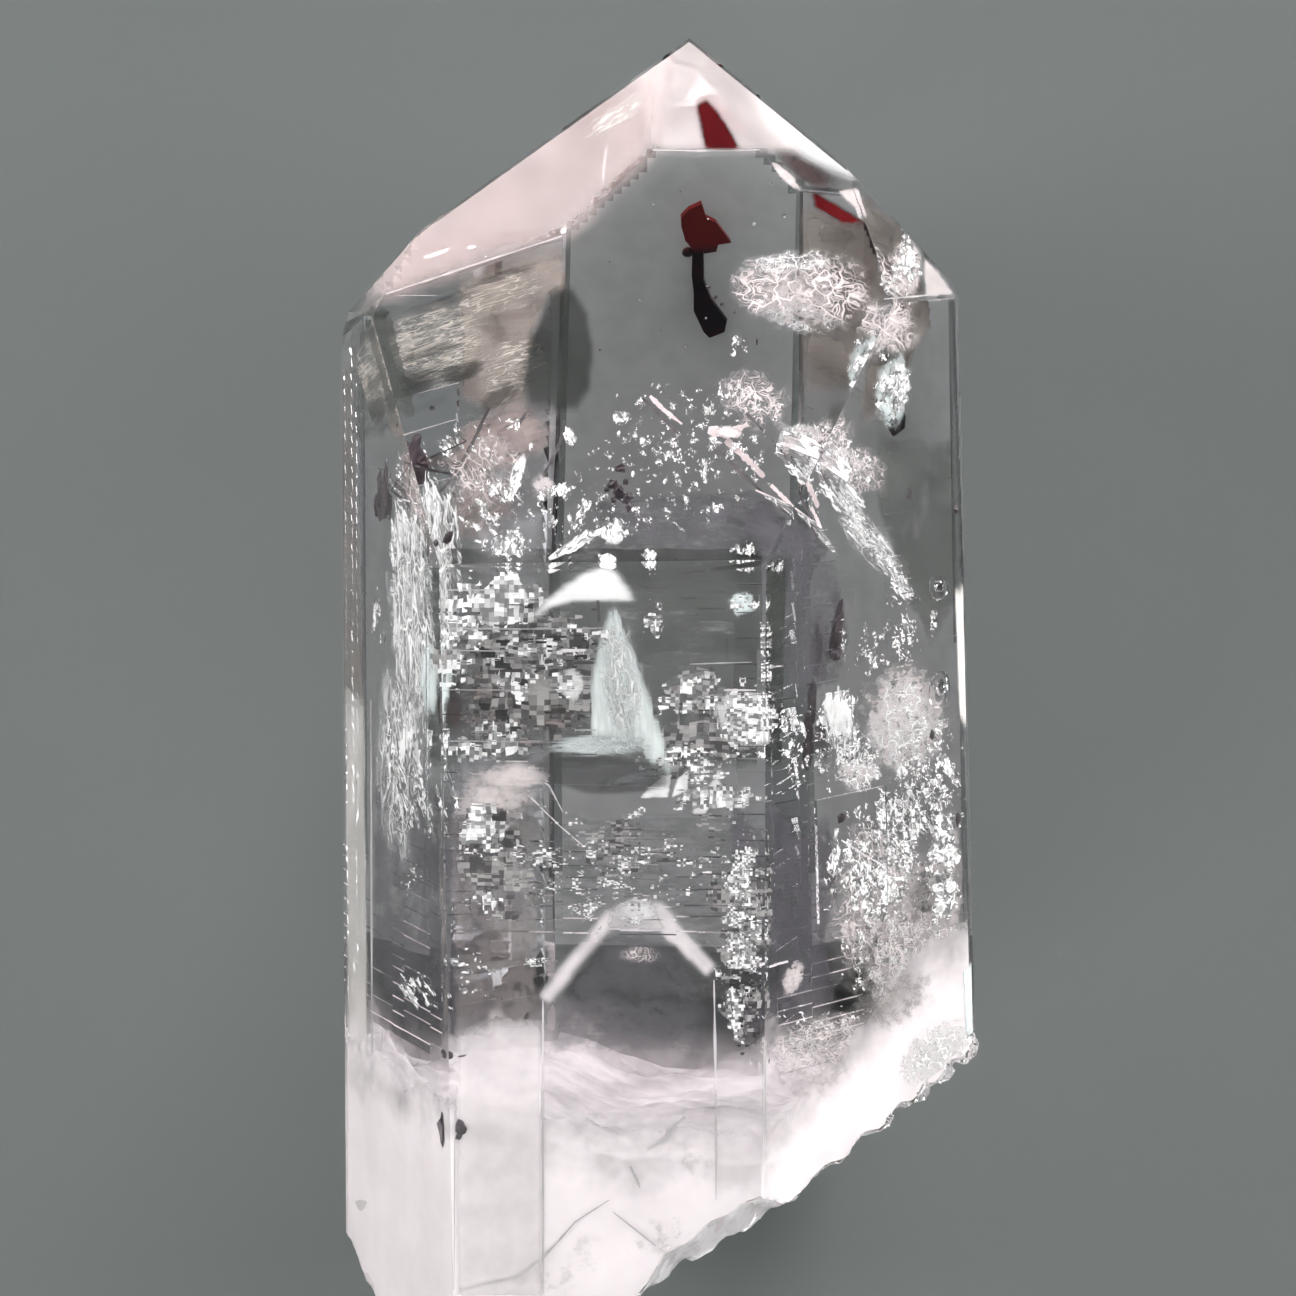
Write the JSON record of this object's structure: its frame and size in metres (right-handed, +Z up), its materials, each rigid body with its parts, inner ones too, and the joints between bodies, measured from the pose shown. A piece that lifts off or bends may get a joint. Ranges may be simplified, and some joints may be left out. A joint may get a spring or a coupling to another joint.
{
  "type": "enhydro quartz crystal",
  "caption": "Clear six-sided quartz crystal with a six-faced point, a milky broken base with a phantom in it, and a hematite inclusion sealed near its back face; it lies on one prism face.",
  "frame": {"origin": "under the middle of the crystal's bounding box, on the surface that its back prism face lies on", "axes": "+Y along the c axis towards the point, +Z up and out of the front prism face, +X to the right seen from above with the point away from the viewer"},
  "size_m": [0.0376, 0.0752, 0.0369],
  "materials": {
    "quartz": "clear, with polished-looking natural faces and a rough milky break",
    "hematite": "glossy dark red plate with a black blade",
    "milky_quartz": "white to faint pink cloud, phantom and veils inside the quartz"
  },
  "bodies": {
    "root": {"quartz_left_half": "quartz", "quartz_right_half": "quartz", "hematite_inclusion": "hematite", "milky_phantom": "milky_quartz"}
  },
  "joints": []
}
